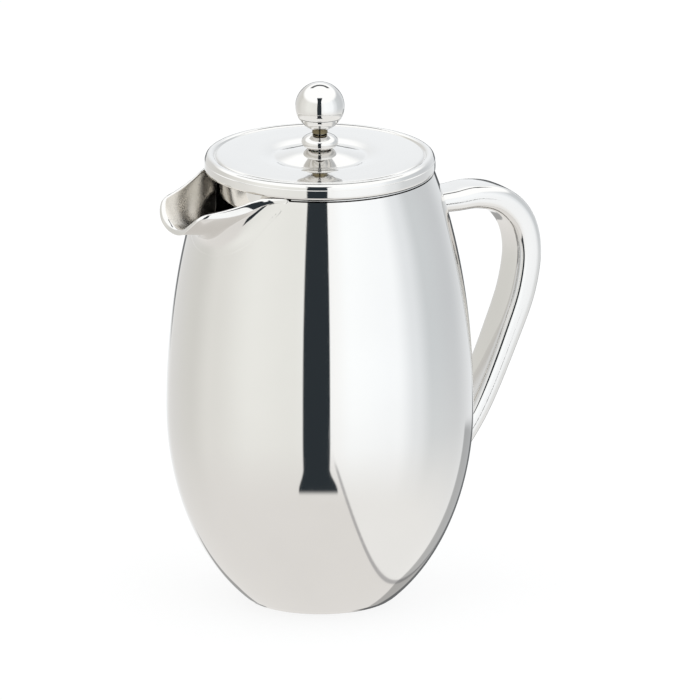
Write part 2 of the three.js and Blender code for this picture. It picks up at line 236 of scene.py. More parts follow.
def offset_profile(points, distance):
    """The profile moved to its left by a distance, for the other face of a pressed sheet."""
    p = np.asarray(points, float)
    d = unit(np.diff(p, axis=0))
    before = np.vstack([d[:1], d])
    after = np.vstack([d, d[-1:]])
    mean = unit(before + after)
    stretch = distance / np.maximum((mean * after).sum(1), 0.3)
    return p + np.stack([-mean[:, 1], mean[:, 0]], 1) * stretch[:, None]


def sheet_profile(points, thickness):
    """A closed outline: the profile, then its offset on the way back."""
    return np.vstack([points, offset_profile(points, thickness)[::-1]])


def apply_boolean(obj, cutter, operation):
    """Cuts or keeps obj by cutter, then removes the cutter."""
    modifier = obj.modifiers.new("cut", "BOOLEAN")
    modifier.operation = operation
    modifier.object = cutter
    modifier.solver = "EXACT"
    bpy.context.view_layer.update()
    evaluated = obj.evaluated_get(bpy.context.evaluated_depsgraph_get())
    mesh = bpy.data.meshes.new_from_object(evaluated)
    obj.modifiers.clear()
    obj.data = mesh
    bpy.data.objects.remove(cutter)


def sharpen(obj, angle):
    """Smooth shading with the edges over an angle kept crisp."""
    bm = bmesh.new()
    bm.from_mesh(obj.data)
    bmesh.ops.remove_doubles(bm, verts=bm.verts, dist=MERGE)
    shade_smooth(bm, angle)
    bm.to_mesh(obj.data)
    bm.free()


# ---------- Body ----------


def body_radius(z):
    z = np.asarray(z, float)
    half = np.where(z > WIDEST_Z, UPPER_HEIGHT, LOWER_HEIGHT)
    return BODY_RADIUS * np.sqrt(np.maximum(1 - ((z - WIDEST_Z) / half) ** 2, 1e-6))


def body_distance(p):
    """Radial distance of points outside the body's face."""
    return np.hypot(p[..., 0], p[..., 1]) - body_radius(p[..., 2])


def body_normal(p):
    r = max(math.hypot(p[0], p[1]), 1e-6)
    slope = (body_radius(p[2] + 0.05) - body_radius(p[2] - 0.05)) / 0.1
    n = np.array([p[0] / r, p[1] / r, -slope])
    return n / np.linalg.norm(n)


def onto_body(p, outside=0.0):
    """The point moved radially on to the body's face."""
    r = math.hypot(p[0], p[1])
    target = float(body_radius(p[2])) + outside
    return np.array([p[0] * target / r, p[1] * target / r, p[2]])


def crossing(line, distance):
    """(index, point) where a polyline first goes from outside to inside by a distance function."""
    d = distance(line)
    for i in range(len(line) - 1):
        if d[i] > 0 >= d[i + 1]:
            share = d[i] / (d[i] - d[i + 1])
            return i, line[i] + (line[i + 1] - line[i]) * share
    raise ValueError("the line doesn't cross the surface")


def run_to_body(line, outward, fillet, count, blend_count, top_z=math.inf):
    """A line of a welded-on piece, from its free end to the body, with a fillet at the weld.

    outward is the piece's own outward direction near the body. The result has count points before
    the fillet, blend_count on it, and two points tucked just under the body's face.
    """
    line = np.asarray(line, float)
    i, joint = crossing(line, body_distance)
    before = np.vstack([line[: i + 1], joint])
    along = distances(before)
    start_at = max(along[-1] - fillet, along[-1] * 0.2)
    start = np.array([np.interp(start_at, along, before[:, k]) for k in range(3)])
    kept = np.vstack([before[along < start_at - 1e-6], start])
    normal = body_normal(joint)
    side = outward - normal * float(np.dot(outward, normal))
    side /= max(np.linalg.norm(side), 1e-6)
    end = joint + side * fillet
    end[2] = min(end[2], top_z)
    end = onto_body(end, 0.03)
    t = np.linspace(0, 1, blend_count + 1)[1:, None]
    curve = (1 - t) ** 2 * start + 2 * t * (1 - t) * joint + t**2 * end
    tuck = end + side * 0.4 - normal * 0.35
    deep = end + side * 0.5 - normal * 0.8
    tuck[2] = min(tuck[2], top_z)
    deep[2] = min(deep[2], top_z)
    return np.vstack([resample(kept, count), curve, tuck, deep])


# ---------- Spout ----------
# An open trough with a rounded V section, and a lip rolled outwards along its sides and over its end.

ROOT_X = -30.0
END_X = -69.4
OUTER_END_X = -71.4
INNER_HALF = ([-71, -69, -64.9, -58, -53.5, -48, -44, -41, -38, -34, -30],
              [13.0, 14.0, 15.9, 18.3, 19.9, 22.0, 23.8, 25.2, 26.7, 28.2, 29.0])
OUTER_HALF = ([-73, -69, -64.9, -58, -53.5, -48, -44, -41, -38, -35, -30],
              [14.4, 15.6, 17.4, 20.0, 21.7, 23.8, 25.8, 27.5, 29.3, 31.1, 34.0])
LIP_Z = ([-71, -67, -64.9, -58, -53.5, -48, -44, -41, -38, -30],
         [178.7, 179.7, 180.1, 181.4, 182.5, 184.2, 185.6, 186.2, 186.4, 186.4])
BAND_DROP = ([-71, -67, -63, -56, -50, -47, -44, -41, -38, -30],
             [0.7, 0.9, 1.6, 2.6, 2.9, 2.8, 2.2, 1.5, 0.9, 0.6])
INNER_FLOOR = ([-71, -66, -60, -54, -48, -44, -40, -30],
               [171.7, 170.6, 169.2, 167.0, 163.2, 159.3, 155.0, 146.0])
OUTER_KEEL = ([-73, -69, -66, -60, -54, -48, -44, -38, -30],
              [169.3, 169.0, 168.6, 167.5, 165.6, 162.1, 158.2, 152.0, 144.0])
INNER_FULLNESS = 0.6
OUTER_FULLNESS = 0.72
ROOT_FULLNESS = 0.85
ROUNDNESS = 0.7
CORNER_FROM = 0.6
CORNER_RADIUS = 4.4
WELD_TOP_Z = 186.9
UNDER_LID_RADIUS = 49.6
UNDER_LID_Z = 187.05
KEEL_ROWS = 22
CORNER_ROWS = 20
TROUGH_COLUMNS = 110


def trough_shape(across, x, fullness):
    """Height up the trough's wall, 0 to 1: a rounded V near the end, and a U towards the vessel."""
    soft = np.sqrt(across**2 + ROUNDNESS**2) - ROUNDNESS
    soft /= math.sqrt(1 + ROUNDNESS**2) - ROUNDNESS
    share = fullness + (ROOT_FULLNESS - fullness) * smoothstep(-64, -44, x)
    return soft * (1 - share) + across**3.0 * share


def trough_line(across, start_x, half, low, high, fullness):
    """One line along the trough's near wall, from its end to beyond the bore."""
    x = start_x + (ROOT_X - start_x) * np.linspace(0, 1, TROUGH_COLUMNS) ** 1.35
    bottom = pchip(*low, x)
    z = bottom + (high(x) - bottom) * trough_shape(across, x, fullness)
    return np.column_stack([x, -pchip(*half, x) * across, z])


def trough_rows(end_x, half, low, high, fullness):
    """All the lines of one face of the trough, from the keel up. Their ends make its rounded corner."""
    rows = []
    for across in np.linspace(0, CORNER_FROM, KEEL_ROWS, endpoint=False):
        rows.append(trough_line(across, end_x, half, low, high, fullness))
    for turn in np.linspace(0, math.pi / 2, CORNER_ROWS):
        across = CORNER_FROM + (1 - CORNER_FROM) * math.sin(turn)
        start_x = end_x + CORNER_RADIUS * (1 - math.cos(turn))
        rows.append(trough_line(across, start_x, half, low, high, fullness))
    return np.array(rows)


def inner_lip(x):
    return pchip(*LIP_Z, x)


def outer_lip(x):
    return pchip(*LIP_Z, x) - pchip(*BAND_DROP, x)


def lip_of(rows):
    """The edge of a face: up its end, round the corner and along its top, as one line."""
    return np.vstack([rows[:-1, 0], rows[-1]])


def lip_frame(rows):
    """At each point of the lip: the way out of the trough along its face, and the face's outer side."""
    lip = lip_of(rows)
    along = unit(np.gradient(lip, axis=0))
    inward = unit(np.vstack([rows[:-1, 1] - rows[:-1, 0], rows[-2] - rows[-1]]))
    inward = unit(inward - along * (inward * along).sum(1, keepdims=True))
    for _ in range(6):
        inward[1:-1] = unit(inward[:-2] + inward[1:-1] * 2 + inward[2:])
    outward = -inward
    away = unit(np.cross(outward, along))
    away[away[:, 2] > 0] *= -1
    return lip, outward, away


def lip_strip(inner, outer, steps=16):
    """Rows that roll the inner face's edge out and over to the edge of the outer face."""
    start, outward, away = lip_frame(inner)
    stop = lip_of(outer)
    count = len(inner) - 1
    side = smoothstep(count - 6, count + 16, np.arange(len(start)))[:, None]
    plan = unit(stop[:, :2] - start[:, :2] + 1e-6)
    flat_out = np.column_stack([plan, np.zeros(len(plan))])
    lean = unit(outward * (1 - side) + flat_out * side)
    edge = stop + lean * 0.5
    rise = unit(-away * (1 - side) + np.array([0.0, 0.0, 1.0]) * side)
    reach = np.linalg.norm(edge - start, axis=1, keepdims=True)
    first = start + outward * reach * np.where(side > 0.5, 0.5, 0.55)
    second = edge + rise * reach * (0.5 + 0.2 * side)
    rows = []
    for t in np.linspace(0, 1, steps):
        row = (1 - t) ** 3 * start + 3 * t * (1 - t) ** 2 * first
        rows.append(row + 3 * t * t * (1 - t) * second + t**3 * edge)
    rows.append(edge - rise * 0.12 - lean * 0.1)
    rows.append(edge - rise * 0.12 - lean * 0.32)
    rows.append(stop)
    rows = np.array(rows)
    under_lid = np.hypot(rows[..., 0], rows[..., 1]) < UNDER_LID_RADIUS
    rows[..., 2] = np.where(under_lid, np.minimum(rows[..., 2], UNDER_LID_Z), rows[..., 2])
    return rows


def bore_distance(p):
    return np.hypot(p[..., 0], p[..., 1]) - (BORE + 0.15)


def run_to_bore(line, count):
    """A line of the channel's face from its end to the bore, eased into the bore's wall."""
    i, end = crossing(line, bore_distance)
    return resample(np.vstack([line[: i + 1], end]), count)


def build_spout():
    inner = trough_rows(END_X, INNER_HALF, INNER_FLOOR, inner_lip, INNER_FULLNESS)
    outer = trough_rows(OUTER_END_X, OUTER_HALF, OUTER_KEEL, outer_lip, OUTER_FULLNESS)
    strip = lip_strip(inner, outer)
    free_count, blend_count = 130, 18
    total = free_count + blend_count + 2
    extra = len(inner) - 1
    vertices, faces = [], []

    def add_grid(rows, width):
        base = len(vertices)
        for row in rows:
            vertices.extend(map(tuple, row))
        near = grid_faces(len(rows), width)
        faces.extend(tuple(base + k for k in f) for f in near)
        shift = len(vertices) - base
        for row in rows:
            vertices.extend(map(tuple, row * np.array([1, -1, 1])))
        faces.extend(tuple(base + shift + k for k in reversed(f)) for f in near)

    outer_lines = []
    for k, row in enumerate(outer):
        i, _ = crossing(row, body_distance)
        if k == 0:
            out = np.array([0.0, 0.0, -1.0])
        else:
            slope = outer[k][i] - outer[k - 1][i]
            out = unit(np.array([0.0, slope[2], -slope[1]]))
            if out[1] > 0:
                out = -out
        fillet = float(np.interp(row[i, 2], [165, 172, 183, 187], [8.0, 8.0, 6.0, 4.0]))
        outer_lines.append(run_to_body(row, out, fillet, free_count, blend_count, top_z=WELD_TOP_Z))
    add_grid(outer_lines, total)

    crest = int(np.argmax(strip[:, -40, 2]))
    strip_lines = []
    for k, row in enumerate(strip):
        end_part, side_part = row[:extra], row[extra:]
        if k >= crest:
            out = np.array([0.0, -1.0, 0.2])
            side_part = run_to_body(side_part, out, 4.0, free_count, blend_count, top_z=WELD_TOP_Z)
        else:
            side_part = run_to_bore(side_part, total)
        strip_lines.append(np.vstack([end_part, side_part]))
    add_grid(strip_lines, total + extra)
    channel_from = len(vertices)
    add_grid([run_to_bore(row, total) for row in inner], total)
    spout = make_object("spout_channel", vertices, faces, sharp_angle=55)
    mark_channel(spout, np.array(vertices[channel_from:]))
    return spout


def mark_channel(spout, inside):
    """Stores which points lie on the channel's own face, for its satin finish."""
    known = {tuple(np.round(p, 3)) for p in inside}
    attribute = spout.data.attributes.new("channel", "FLOAT", "POINT")
    for k, vertex in enumerate(spout.data.vertices):
        attribute.data[k].value = float(tuple(np.round(np.array(vertex.co) / MM, 3)) in known)


def wall_line(distance_function):
    """Where the middle of the spout's wall meets the body or the bore: (angle, z) pairs."""
    inner = trough_rows(END_X, INNER_HALF, INNER_FLOOR, inner_lip, INNER_FULLNESS)
    outer = trough_rows(END_X, OUTER_HALF, OUTER_KEEL, outer_lip, OUTER_FULLNESS)
    points = []
    for row in (inner + outer) / 2:
        _, p = crossing(row, distance_function)
        points.append((math.atan2(-p[1], -p[0]), min(p[2], SHELL_TOP_Z)))
    return points


def notched_columns(line, top_z):
    """Column angles round the body, from the spout's middle, with the height each column stops at."""
    side = list(line)
    last = side[-1][0]
    side.append((last + 0.002, top_z))
    rest = np.linspace(last + 0.02, math.pi, 100)
    half = side + [(a, top_z) for a in rest]
    other = [(-a, z) for a, z in reversed(half[1:-1])]
    return half + other


def around(angle, r):
    """Plan position at an angle from the spout's direction."""
    return -r * math.cos(angle), -r * math.sin(angle)


def pot_wall(name, columns, column_to, close_columns):
    """A wall round the pot. column_to gives a column's (r, z) points from the height it stops at."""
    vertices = []
    for angle, top in columns:
        column = column_to(top)
        vertices.extend((*around(angle, r), h) for r, h in column)
    faces = grid_faces(len(columns), len(column), close_rows=True, close_columns=close_columns)
    return make_object(name, vertices, faces, sharp_angle=50)


def body_column(top):
    wall = 1.0
    foot_z = 1.2
    z = np.linspace(0, 1, 110) ** 1.15 * (top - foot_z) + foot_z
    column = [(24.0, 1.0), (24.0, 0.15), (24.15, 0.0), (31.0, 0.0), (31.5, 0.12), (31.85, 0.55)]
    column += [(float(body_radius(h)), float(h)) for h in z]
    column += [(float(body_radius(top)) - wall, float(top))]
    return column + [(float(body_radius(h)) - wall, float(h)) for h in z[::-1][1::6]]


def liner_column(top):
    corner = 7.0
    wall = 0.8
    flare = 2.4
    notched = top < RIM_Z - 0.01
    straight_top = top if notched else RIM_Z - flare
    z = np.linspace(FLOOR_Z + corner, straight_top, 40)
    column = [(0.0, FLOOR_Z), (12.0, FLOOR_Z), (24.0, FLOOR_Z)]
    column += arc(BORE - corner, FLOOR_Z + corner, corner, -90, 0, 12)
    column += [(BORE, h) for h in z[1:]]
    if notched:
        column += [(BORE + 0.01 * k, top) for k in range(1, 7)]
        column += [(BORE + wall - 0.01 * k, top) for k in range(6, 0, -1)]
    else:
        column += arc(BORE + flare, RIM_Z - flare, flare, 180, 90, 6)[1:]
        column += [(RIM_RADIUS, RIM_Z), (RIM_RADIUS + 0.1, RIM_Z - 0.4)]
        column += arc(BORE + flare, RIM_Z - flare, flare - wall, 90, 180, 5)
    column += [(BORE + wall, h) for h in z[::-1][1::5]]
    column += arc(BORE - corner, FLOOR_Z + corner, corner + wall, 0, -90, 5)
    return column + [(0.0, FLOOR_Z - wall)]


def build_body():
    columns = notched_columns(wall_line(body_distance), SHELL_TOP_Z)
    return pot_wall("body_shell", columns, body_column, True)


def build_liner():
    columns = notched_columns(wall_line(bore_distance), RIM_Z)
    return pot_wall("inner_liner_skin", columns, liner_column, False)


# ---------- Handle ----------

HANDLE_LINE = [
    (50, 165.4), (64, 165.0), (75, 165.0), (86.8, 161.4), (96.0, 152.0), (99.6, 139), (97.4, 122),
    (89.7, 102.2), (75.1, 72.2), (64.3, 56.8), (57, 46.8), (51, 38.3),
]
HANDLE_T = [0, 0.12, 0.28, 0.45, 0.7, 1]
HANDLE_HALF_THICKNESS = [4.2, 4.9, 6.0, 5.8, 5.1, 4.7]
HANDLE_WIDTH_T = [0, 0.15, 0.35, 0.6, 1]
HANDLE_HALF_WIDTH = [9.6, 9.4, 9.2, 9.4, 9.6]
HANDLE_END_T = 1.054  # this line is longer than the CAD model's, which ends at 1
HANDLE_CORNER = 3.1
HANDLE_CROWN = 0.5
HANDLE_STATIONS = 220
HANDLE_SECTION = 70
HANDLE_FILLET = 2.2


def handle_section(half_thickness, half_width):
    """A rounded oblong: (outwards, sideways) pairs, with slightly crowned faces."""
    flat_out, flat_side = half_thickness - HANDLE_CORNER, half_width - HANDLE_CORNER
    quarter = [(k / 5 * flat_out, half_width) for k in range(5)]
    for a in np.linspace(0, math.pi / 2, 9):
        quarter.append((flat_out + HANDLE_CORNER * math.sin(a), flat_side + HANDLE_CORNER * math.cos(a)))
    quarter += [(half_thickness, k / 5 * flat_side) for k in range(4, 0, -1)]
    out = np.array([q[0] for q in quarter])
    side = np.array([q[1] for q in quarter])
    out, side = (
        np.concatenate([out, out[::-1], -out[1:], -out[:0:-1]]),
        np.concatenate([side, -side[::-1], -side[1:], side[:0:-1]]),
    )
    out = out - np.sign(out) * HANDLE_CROWN * (side / half_width) ** 2
    side = side - np.sign(side) * HANDLE_CROWN * 0.5 * (out / half_thickness) ** 2
    return out, side


def build_handle():
    centre = catmull(HANDLE_LINE, HANDLE_STATIONS)
    tangent = unit(np.gradient(centre, axis=0))
    outwards = np.stack([-tangent[:, 1], tangent[:, 0]], 1)
    t = np.linspace(0, HANDLE_END_T, HANDLE_STATIONS)
    thick = pchip(HANDLE_T, HANDLE_HALF_THICKNESS, t)
    wide = pchip(HANDLE_WIDTH_T, HANDLE_HALF_WIDTH, t)
    rings = []
    for i in range(HANDLE_STATIONS):
        out, side = handle_section(thick[i], wide[i])
        x = centre[i, 0] + outwards[i, 0] * out
        z = centre[i, 1] + outwards[i, 1] * out
        rings.append(np.column_stack([x, side, z]))
    rings = np.array(rings)
    middle = HANDLE_STATIONS // 2
    lines = []
    for j in range(HANDLE_SECTION):
        line = rings[:, j]
        ends = []
        for half in (line[: middle + 1][::-1], line[middle:]):
            i, _ = crossing(half, body_distance)
            index = middle + i if ends else middle - i
            centre_point = np.array([centre[index, 0], 0.0, centre[index, 1]])
            out = rings[index, j] - centre_point
            out /= np.linalg.norm(out)
            ends.append(run_to_body(half, out, HANDLE_FILLET, 110, 8))
        lines.append(np.vstack([ends[0][::-1], ends[1][1:]]))
    grid = np.array(lines)
    count = grid.shape[1]
    faces = grid_faces(HANDLE_SECTION, count, close_rows=True)
    faces.append(tuple(j * count for j in range(HANDLE_SECTION)))
    faces.append(tuple(j * count + count - 1 for j in reversed(range(HANDLE_SECTION))))
    return make_object("handle_loop", grid.reshape(-1, 3), faces, sharp_angle=60)


# ---------- Lid ----------


def lid_top_profile():
    """The cover's top face from its centre hole out to the lower edge of its side."""
    dome = catmull([(4.5, 196.0), (6, 195.9), (8, 195.6), (11, 195.02), (14, 194.28), (17, 193.5),
                    (18.9, 193.0)], 60)
    roll = catmull([(18.9, 193.0), (19.5, 192.9), (20.2, 192.95), (22, 193.3), (24.5, 193.68), (27, 193.88),
                    (30, 193.92), (33, 193.88)], 40)
    band = catmull([(33.0, 193.88), (36.0, 193.82), (38.0, 193.77), (40.5, 193.65), (43.4, 193.42)], 14)
    groove = catmull([(43.4, 193.42), (43.85, 193.2), (44.15, 192.75), (44.45, 192.72), (44.75, 193.1),
                      (45.0, 193.5)], 16)
    bead = catmull([(45.0, 193.5), (45.8, 193.75), (46.6, 193.78), (47.4, 193.55)], 12)
    edge = catmull([(47.4, 193.55), (48.0, 193.05), (48.35, 192.4), (48.5, 191.7)], 10)
    side = [(48.48, 191.45), (48.6, 191.32), (48.8, 191.25), (48.8, 190.0), (48.8, 188.4), (48.78, 187.7),
            (48.6, 187.45)]
    return np.vstack([dome, roll[1:], band[1:], groove[1:], bead[1:], edge[1:], side])


def build_lid_cover():
    under = [(48.0, 187.45), (48.0, 190.4), (47.6, 191.6), (46.4, 192.4), (43.0, 192.1), (36.0, 192.95),
             (26.0, 193.0), (20.0, 192.1), (17.5, 192.5), (14.0, 193.45), (10.0, 194.4), (6.0, 195.1),
             (4.5, 195.2)]
    return lathe("lid_cover_skin", np.vstack([lid_top_profile(), under]), segments=256, sharp_angle=40)


def build_lid_liner():
    corner = 2.5
    face = [(4.5, PAN_Z), (18, PAN_Z), (30, PAN_Z), (31.5, 175.4), (33, 175.8), (35.5, 175.8), (37, 175.4)]
    face += arc(42.6 - corner, PAN_Z + corner, corner, -90, 0, 12)
    face += [(42.6, 180.5), (42.6, 183.5), (42.6, 186.2)]
    face += arc(43.3, 186.6, 0.7, 180, 90, 5) + [(47.6, 187.3)]
    return lathe("lid_liner_pan", sheet_profile(face, 0.8), segments=200)


def build_collar():
    a = np.linspace(-math.acos(5.4 / COLLAR_RADIUS), math.acos(3.0 / COLLAR_RADIUS), 60)
    outer = np.stack([COLLAR_RADIUS * np.cos(a), COLLAR_Z + COLLAR_HALF * np.sin(a)], 1)
    foot = [(4.5, 196.3), (5.3, 196.3)]
    bore = [(2.85, outer[-1, 1] + 0.02), (2.8, 202.4), (2.8, 198.8), (4.5, 198.8)]
    return lathe("lid_collar_bead", np.vstack([foot, outer, bore]), segments=144)


def build_bush():
    profile = [(2.8, 170.4), (3.1, 170.0), (3.9, 170.0), (4.2, 170.4)]
    profile += [(4.2, 198.2), (4.0, 198.5), (3.0, 198.5), (2.8, 198.2)]
    return lathe("bush_sleeve", profile, segments=64)


def build_washer():
    profile = [(4.5, 174.1), (4.7, 174.0), (9.8, 174.0), (10.0, 174.2)]
    profile += [(10.0, 174.8), (9.8, 175.0), (4.7, 175.0), (4.5, 174.9)]
    return lathe("washer_ring", profile, segments=96)


def hex_nut(name, across_flats, hole, bottom, height):
    """A hexagon with chamfered corners, a bore and a countersink at each end."""
    corner = across_flats / math.sqrt(3)
    ring = [(corner * math.cos(TAU * k / 6), corner * math.sin(TAU * k / 6)) for k in range(6)]
    vertices = [(x, y, bottom) for x, y in ring] + [(x, y, bottom + height) for x, y in ring]
    faces = [tuple(range(6))[::-1], tuple(range(6, 12))]
    faces += [(k, (k + 1) % 6, 6 + (k + 1) % 6, 6 + k) for k in range(6)]
    nut = make_object(name, vertices, faces)
    flat = across_flats / 2 * 0.97
    chamfer = (corner * 1.02 - flat) * 0.55
    sink = 0.35
    body = [
        (hole, bottom + sink), (hole + sink, bottom), (flat, bottom), (corner * 1.02, bottom + chamfer),
        (corner * 1.02, bottom + height - chamfer), (flat, bottom + height), (hole + sink, bottom + height),
        (hole, bottom + height - sink),
    ]
    keep = lathe(name + "_keep", body, segments=72)
    apply_boolean(nut, keep, "INTERSECT")
    sharpen(nut, 28)
    return nut


# ---------- Knob ----------


def ball_arc(start_z, end_z, inset, count):
    radius = BALL_RADIUS - inset
    start = math.asin(np.clip((start_z - BALL_Z) / radius, -1, 1))
    end = math.asin(np.clip((end_z - BALL_Z) / radius, -1, 1))
    a = np.linspace(start, end, count)
    return np.stack([radius * np.cos(a), BALL_Z + radius * np.sin(a)], 1)


def build_knob_upper():
    outer = ball_arc(SEAM_Z + 0.3, BALL_Z + BALL_RADIUS, 0, 70)
    edge = outer[0, 0]
    lip = [(edge - 0.9, SEAM_Z + 0.08), (edge - 0.22, SEAM_Z + 0.06), (edge - 0.04, SEAM_Z + 0.16)]
    inner = ball_arc(BALL_Z + BALL_RADIUS - 1.0, SEAM_Z + 0.3, 1.0, 24)
    return lathe("knob_cap", np.vstack([inner, lip, outer]), segments=144)


def build_knob_lower():
    seam_r = float(ball_arc(SEAM_Z, SEAM_Z, 0, 1)[0, 0])
    outer = catmull([(3.7, 204.75), (4.3, 205.0), (6.0, 206.05), (7.6, 207.45), (8.6, 208.75),
                     (seam_r - 0.12, 209.75)], 40)
    rounded = [(seam_r - 0.14, 209.88), (seam_r - 0.3, 209.94), (seam_r - 1.0, 209.94)]
    inner = catmull([(seam_r - 1.1, 209.6), (7.5, 208.7), (6.4, 207.6), (5.0, 206.6), (3.7, 205.8)], 20)
    return lathe("knob_cup", np.vstack([outer, rounded, inner]), segments=144)


def build_knob_insert():
    profile = [(0, 219), (3.1, 219), (3.4, 218.7), (3.4, 212), (6.3, 212), (6.3, 209.2), (3.4, 209.2)]
    profile += catmull([(3.4, 206.5), (3.4, 205.2), (3.28, 204.4), (3.3, 203.6), (3.4, 203.1)], 14).tolist()
    profile += [(3.2, 202.92), (2.3, 202.92), (2.3, 217), (0, 217)]
    return lathe("knob_neck", profile, segments=96)


# ---------- Plunger ----------


def threaded(r_core, r_crest, start, end, pitch):
    """Profile points of thread crests, drawn as close rings."""
    points = []
    turns = int((end - start) / pitch)
    for k in range(turns):
        z = start + k * pitch
        points += [(r_core, z), (r_crest, z + 0.3 * pitch)]
        points += [(r_crest, z + 0.5 * pitch), (r_core, z + 0.8 * pitch)]
    return points


def build_rod():
    profile = [(0, 21.2), (1.6, 21.2)] + threaded(1.7, 2.0, 21.5, 27.6, 0.7)
    profile += [(2.0, 27.9), (2.3, 27.9), (2.5, 28.1)]
    profile += [(2.5, z) for z in np.linspace(30, 202.4, 30)]
    profile += [(2.5, 202.7), (2.3, 202.9), (2.0, 202.9)] + threaded(1.7, 2.0, 203.4, 216.0, 0.7)
    profile += [(1.5, 216.4), (0, 216.5)]
    return lathe("rod_shaft", profile, segments=64, closed=False)


def dish_profile(bottom, radius, edge_z, thickness, rib):
    """A pressed disc with an upturned edge and one shallow ring rib."""
    corner = 0.9
    face = [(2.8, bottom), (8, bottom), (rib - 2.5, bottom), (rib - 1.2, bottom + 0.12), (rib, bottom + 0.2),
            (rib + 1.2, bottom + 0.12), (rib + 2.5, bottom)]
    face += arc(radius - corner, bottom + corner, corner, -90, 0, 8) + [(radius, edge_z)]
    return sheet_profile(face, thickness)


def build_mesh_dish():
    face = [(2.8, 26.3), (12, 26.3), (24, 26.3), (34, 26.3)] + arc(42.6, 27.2, 0.9, -90, 0, 8)
    face += [(43.5, 29.0), (43.5, 31.2), (43.35, 31.45)]
    return lathe("mesh_disc", sheet_profile(face, 0.4), segments=200)


def build_spring_plate():
    return lathe("spring_plate_disc", dish_profile(27.1, 38.4, 31.3, 0.8, 24), segments=200)


def build_edge_spring():
    """A garter spring: one wire wound in a close coil whose axis is a ring."""
    turns, per_turn, sides = 150, 14, 6
    ring, coil, wire = 40.7, 1.62, 0.36
    middle = 29.1
    count = turns * per_turn
    a = TAU * np.arange(count) / count
    b = turns * a
    centre = np.stack([(ring + coil * np.cos(b)) * np.cos(a), (ring + coil * np.cos(b)) * np.sin(a),
                       middle + coil * np.sin(b)], 1)
    tangent = unit(np.roll(centre, -1, 0) - np.roll(centre, 1, 0))
    normal = np.stack([np.cos(b) * np.cos(a), np.cos(b) * np.sin(a), np.sin(b)], 1)
    normal = unit(normal - tangent * (normal * tangent).sum(1, keepdims=True))
    binormal = np.cross(tangent, normal)
    c = TAU * np.arange(sides) / sides
    vertices = centre[:, None] + wire * (np.cos(c)[None, :, None] * normal[:, None]
                                         + np.sin(c)[None, :, None] * binormal[:, None])
    faces = grid_faces(count, sides, close_rows=True, close_columns=True)
    return make_object("garter_spring", vertices.reshape(-1, 3), faces)


def build_cross_plate():
    windows, ring, radius, sides = 8, 27, 6.5, 48
    face = [(2.8, 26.0), (8, 26.0), (12, 26.0), (38.0, 26.0)]
    face += arc(39.0, 24.5, 1.5, 90, 0, 8) + [(40.5, 22.6)]
    plate = lathe("cross_plate_disc", sheet_profile(face, -1.0), segments=200)
    cutters = []
    angle = np.linspace(0, TAU, sides, endpoint=False)
    for k in range(windows):
        a = TAU * k / windows
        x = ring * math.cos(a) + radius * np.cos(angle)
        y = ring * math.sin(a) + radius * np.sin(angle)
        low = np.column_stack([x, y, np.full(sides, 24.0)])
        high = np.column_stack([x, y, np.full(sides, 27.0)])
        faces = [tuple(reversed(range(sides))), tuple(range(sides, 2 * sides))]
        faces += [(j, (j + 1) % sides, sides + (j + 1) % sides, sides + j) for j in range(sides)]
        cutters.append((np.vstack([low, high]), faces))
    vertices = np.vstack([v for v, _ in cutters])
    faces = [tuple(2 * sides * k + i for i in f) for k, (_, fs) in enumerate(cutters) for f in fs]
    apply_boolean(plate, make_object("windows", vertices, faces), "DIFFERENCE")
    sharpen(plate, 35)
    return plate


def build_base():
    face = [(0, 0), (10, 0), (14, 0), (14.6, 0.25), (16.2, 0.25), (16.8, 0), (23.3, 0), (23.7, 0.3)]
    face += [(23.7, 1.0), (24.2, 1.3), (28.5, 1.3)]
    upper = [(28.5, 2.3), (22.7, 2.3), (22.7, 1.0), (0, 1.0)]
    return lathe("base_disc", face + upper, segments=160, closed=False)


# ---------- Materials ----------


